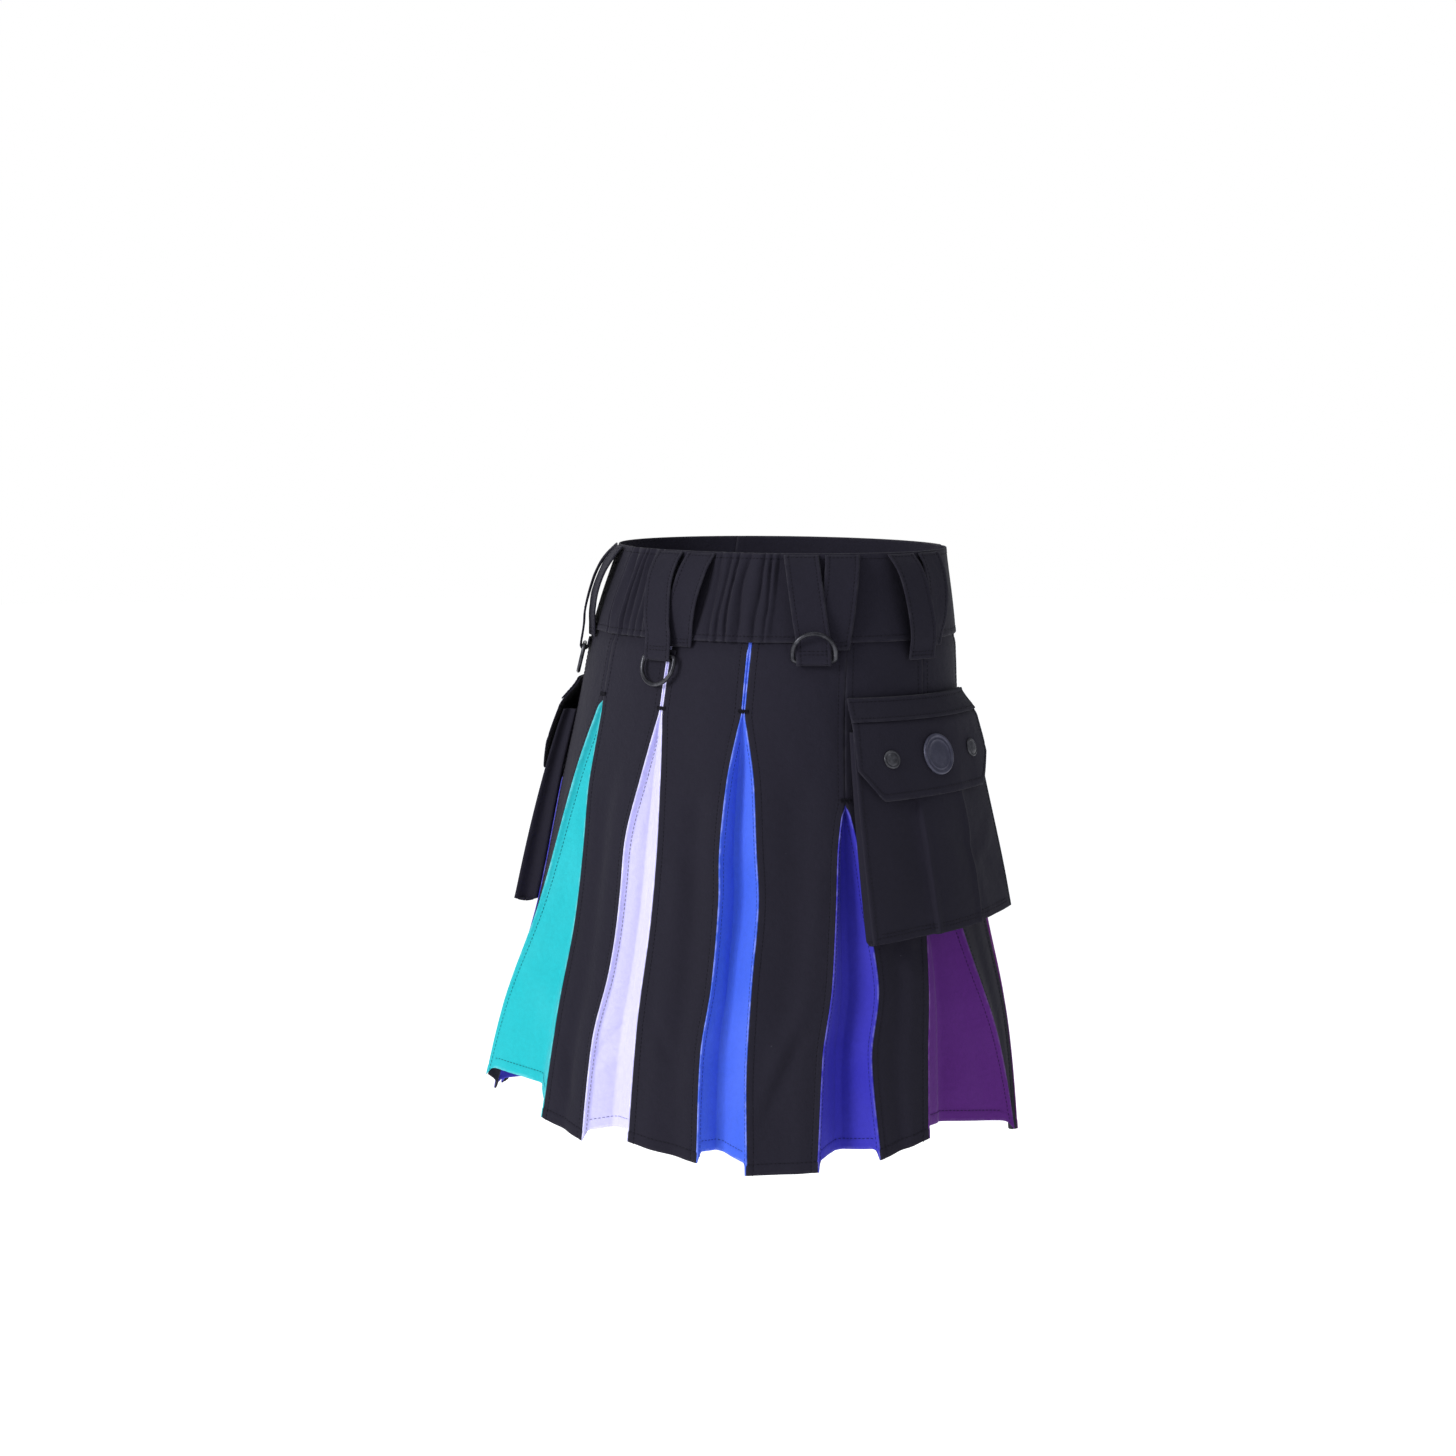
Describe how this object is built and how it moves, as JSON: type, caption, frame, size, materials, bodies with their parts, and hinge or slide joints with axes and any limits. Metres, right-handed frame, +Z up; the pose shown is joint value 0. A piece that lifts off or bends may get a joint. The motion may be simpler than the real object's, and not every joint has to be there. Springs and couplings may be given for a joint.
{
  "type": "utility kilt",
  "caption": "Short pleated utility kilt in black cloth with coloured pleat insets, cargo pockets at the hips and forked belt loops with D rings.",
  "frame": {"origin": "centre of the waist opening, level with the top edge of the waistband", "axes": "+Z up towards the wearer's head, -Y towards the wearer's front, +X towards the wearer's left"},
  "size_m": [0.4879, 0.4111, 0.5013],
  "materials": {
    "badge_metal": "slate, satin",
    "cloth_black": "matt cotton twill",
    "cloth_blue": "matt cotton twill",
    "cloth_indigo": "matt cotton twill",
    "cloth_lavender": "matt cotton twill",
    "cloth_plum": "matt cotton twill",
    "cloth_purple": "matt cotton twill",
    "cloth_teal": "matt cotton twill",
    "ring_metal": "dark, satin",
    "snap_metal": "dark, satin"
  },
  "bodies": {
    "kilt": {"apron_over": "cloth_black", "apron_under": "cloth_black", "badge_left": "badge_metal", "badge_right": "badge_metal", "inset_back": "cloth_lavender", "inset_left_1": "cloth_teal", "inset_left_2": "cloth_indigo", "inset_left_3": "cloth_purple", "inset_left_4": "cloth_plum", "inset_right_1": "cloth_blue", "inset_right_2": "cloth_indigo", "inset_right_3": "cloth_purple", "inset_right_4": "cloth_plum", "loop_centre_back_a": "cloth_black", "loop_centre_back_b": "cloth_black", "loop_left_back_a": "cloth_black", "loop_left_back_b": "cloth_black", "loop_left_side_a": "cloth_black", "loop_left_side_b": "cloth_black", "loop_right_back_a": "cloth_black", "loop_right_back_b": "cloth_black", "loop_right_side_a": "cloth_black", "loop_right_side_b": "cloth_black", "panel_1": "cloth_black", "panel_2": "cloth_black", "panel_3": "cloth_black", "panel_4": "cloth_black", "panel_5": "cloth_black", "panel_6": "cloth_black", "panel_7": "cloth_black", "panel_8": "cloth_black", "pocket_bag_left": "cloth_black", "pocket_bag_right": "cloth_black", "pocket_band_left": "cloth_black", "pocket_band_right": "cloth_black", "pocket_flap_left": "cloth_black", "pocket_flap_right": "cloth_black", "snap_front_1": "snap_metal", "snap_front_2": "snap_metal", "snap_front_left": "snap_metal", "snap_front_right": "snap_metal", "snap_rear_left": "snap_metal", "snap_rear_right": "snap_metal", "waistband": "cloth_black"},
    "ring_left_back": {"ring_left_back": "ring_metal"},
    "ring_centre_back": {"ring_centre_back": "ring_metal"},
    "ring_right_back": {"ring_right_back": "ring_metal"}
  },
  "joints": [
    {"name": "ring_left_back_swing", "type": "hinge", "parent": "kilt", "child": "ring_left_back", "pos_m": [0.13684, 0.10444, -0.087], "axis": [0.6392, -0.769, 0], "range_deg": [0, 140]},
    {"name": "ring_centre_back_swing", "type": "hinge", "parent": "kilt", "child": "ring_centre_back", "pos_m": [0.00589, 0.15972, -0.087], "axis": [0.9973, -0.0739, 0], "range_deg": [0, 140]},
    {"name": "ring_right_back_swing", "type": "hinge", "parent": "kilt", "child": "ring_right_back", "pos_m": [-0.12433, 0.11628, -0.087], "axis": [-0.7977, -0.6031, 0], "range_deg": [0, 140]}
  ]
}
